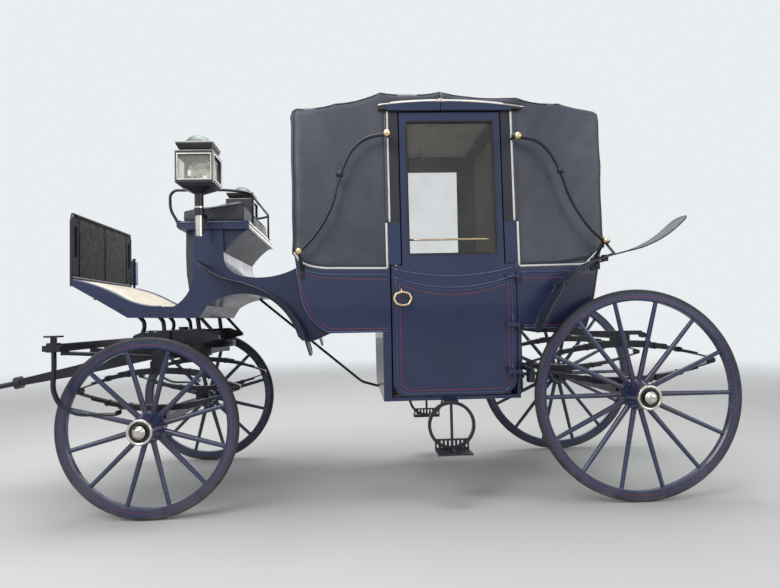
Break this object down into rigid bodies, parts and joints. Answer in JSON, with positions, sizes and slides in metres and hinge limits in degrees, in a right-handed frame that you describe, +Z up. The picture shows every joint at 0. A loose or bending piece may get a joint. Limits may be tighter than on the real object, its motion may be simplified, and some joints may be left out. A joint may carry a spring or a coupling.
{
  "type": "horse drawn carriage",
  "caption": "Closed four-wheel landau carriage with a folding leather head, driver's box, lamps, steered fore-carriage and side doors.",
  "frame": {"origin": "on the ground under the middle of the carriage's overall length and width", "axes": "+X to the rear, +Y to the carriage's right side, +Z up"},
  "size_m": [4.39, 1.724, 2.335],
  "materials": {
    "body_paint": "gloss navy coach paint",
    "wheel_paint": "gloss navy paint, lined",
    "black_iron": "gloss black paint",
    "black_leather": "dressed leather",
    "seat_leather": "satin leather",
    "cabin_cloth": "woven cloth",
    "nickel": "polished nickel",
    "brass": "polished brass",
    "glass": "clear plate glass",
    "tyre_rubber": "solid rubber"
  },
  "bodies": {
    "carriage": {"body_floor": "body_paint", "boot": "body_paint", "boot_apron": "black_leather", "brake_column": "body_paint", "brake_gear": "black_iron", "dash_frame": "black_iron", "dash_panel": "black_leather", "door_hinges": "black_iron", "door_steps": "black_iron", "driver_cushion": "seat_leather", "end_walls": "body_paint", "footboard": "body_paint", "front_fenders": "black_iron", "front_head": "black_leather", "front_head_frame": "body_paint", "head_bows": "black_iron", "lamp_brackets": "black_iron", "lamp_glass": "glass", "lamp_tubes": "nickel", "lamps": "black_iron", "landau_irons": "black_iron", "quarter_panels": "body_paint", "rear_axle": "black_iron", "rear_body_irons": "black_iron", "rear_fenders": "black_iron", "rear_head": "black_leather", "rear_head_frame": "body_paint", "rear_springs": "black_iron", "seat_backs": "cabin_cloth", "seat_board": "body_paint", "seat_cushions": "cabin_cloth", "seat_rail": "black_iron", "upper_turntable": "black_iron"},
    "fore_carriage": {"coachman_steps": "black_iron", "fore_carriage_frame": "black_iron", "front_axle": "black_iron", "front_springs": "black_iron", "pole": "black_iron", "splinter_bar": "black_iron"},
    "near_door": {"near_door_frame": "body_paint", "near_door_glass": "glass", "near_door_handle": "brass", "near_door_leaf": "body_paint"},
    "front_near_running_wheel": {"front_near_hub_cap": "nickel", "front_near_tyre": "tyre_rubber", "front_near_wheel": "wheel_paint"},
    "rear_near_running_wheel": {"rear_near_hub_cap": "nickel", "rear_near_tyre": "tyre_rubber", "rear_near_wheel": "wheel_paint"},
    "far_door": {"far_door_frame": "body_paint", "far_door_glass": "glass", "far_door_handle": "brass", "far_door_leaf": "body_paint"},
    "front_far_running_wheel": {"front_far_hub_cap": "nickel", "front_far_tyre": "tyre_rubber", "front_far_wheel": "wheel_paint"},
    "rear_far_running_wheel": {"rear_far_hub_cap": "nickel", "rear_far_tyre": "tyre_rubber", "rear_far_wheel": "wheel_paint"}
  },
  "joints": [
    {"name": "steering", "type": "hinge", "parent": "carriage", "child": "fore_carriage", "pos_m": [-1.01, 0, 0.88], "axis": [0, 0, 1], "range_deg": [-45, 45]},
    {"name": "front_near_spin", "type": "hinge", "parent": "fore_carriage", "child": "front_near_running_wheel", "pos_m": [-1.01, -0.7, 0.475], "axis": [0, 1, 0], "continuous": true},
    {"name": "rear_near_spin", "type": "hinge", "parent": "carriage", "child": "rear_near_running_wheel", "pos_m": [1.62, -0.7, 0.575], "axis": [0, 1, 0], "continuous": true},
    {"name": "front_far_spin", "type": "hinge", "parent": "fore_carriage", "child": "front_far_running_wheel", "pos_m": [-1.01, 0.7, 0.475], "axis": [0, 1, 0], "continuous": true},
    {"name": "rear_far_spin", "type": "hinge", "parent": "carriage", "child": "rear_far_running_wheel", "pos_m": [1.62, 0.7, 0.575], "axis": [0, 1, 0], "continuous": true},
    {"name": "near_door_swing", "type": "hinge", "parent": "carriage", "child": "near_door", "pos_m": [0.989, -0.642, 0.96], "axis": [0, 0, 1], "range_deg": [0, 85]},
    {"name": "far_door_swing", "type": "hinge", "parent": "carriage", "child": "far_door", "pos_m": [0.989, 0.642, 0.96], "axis": [0, 0, -1], "range_deg": [0, 85]}
  ]
}
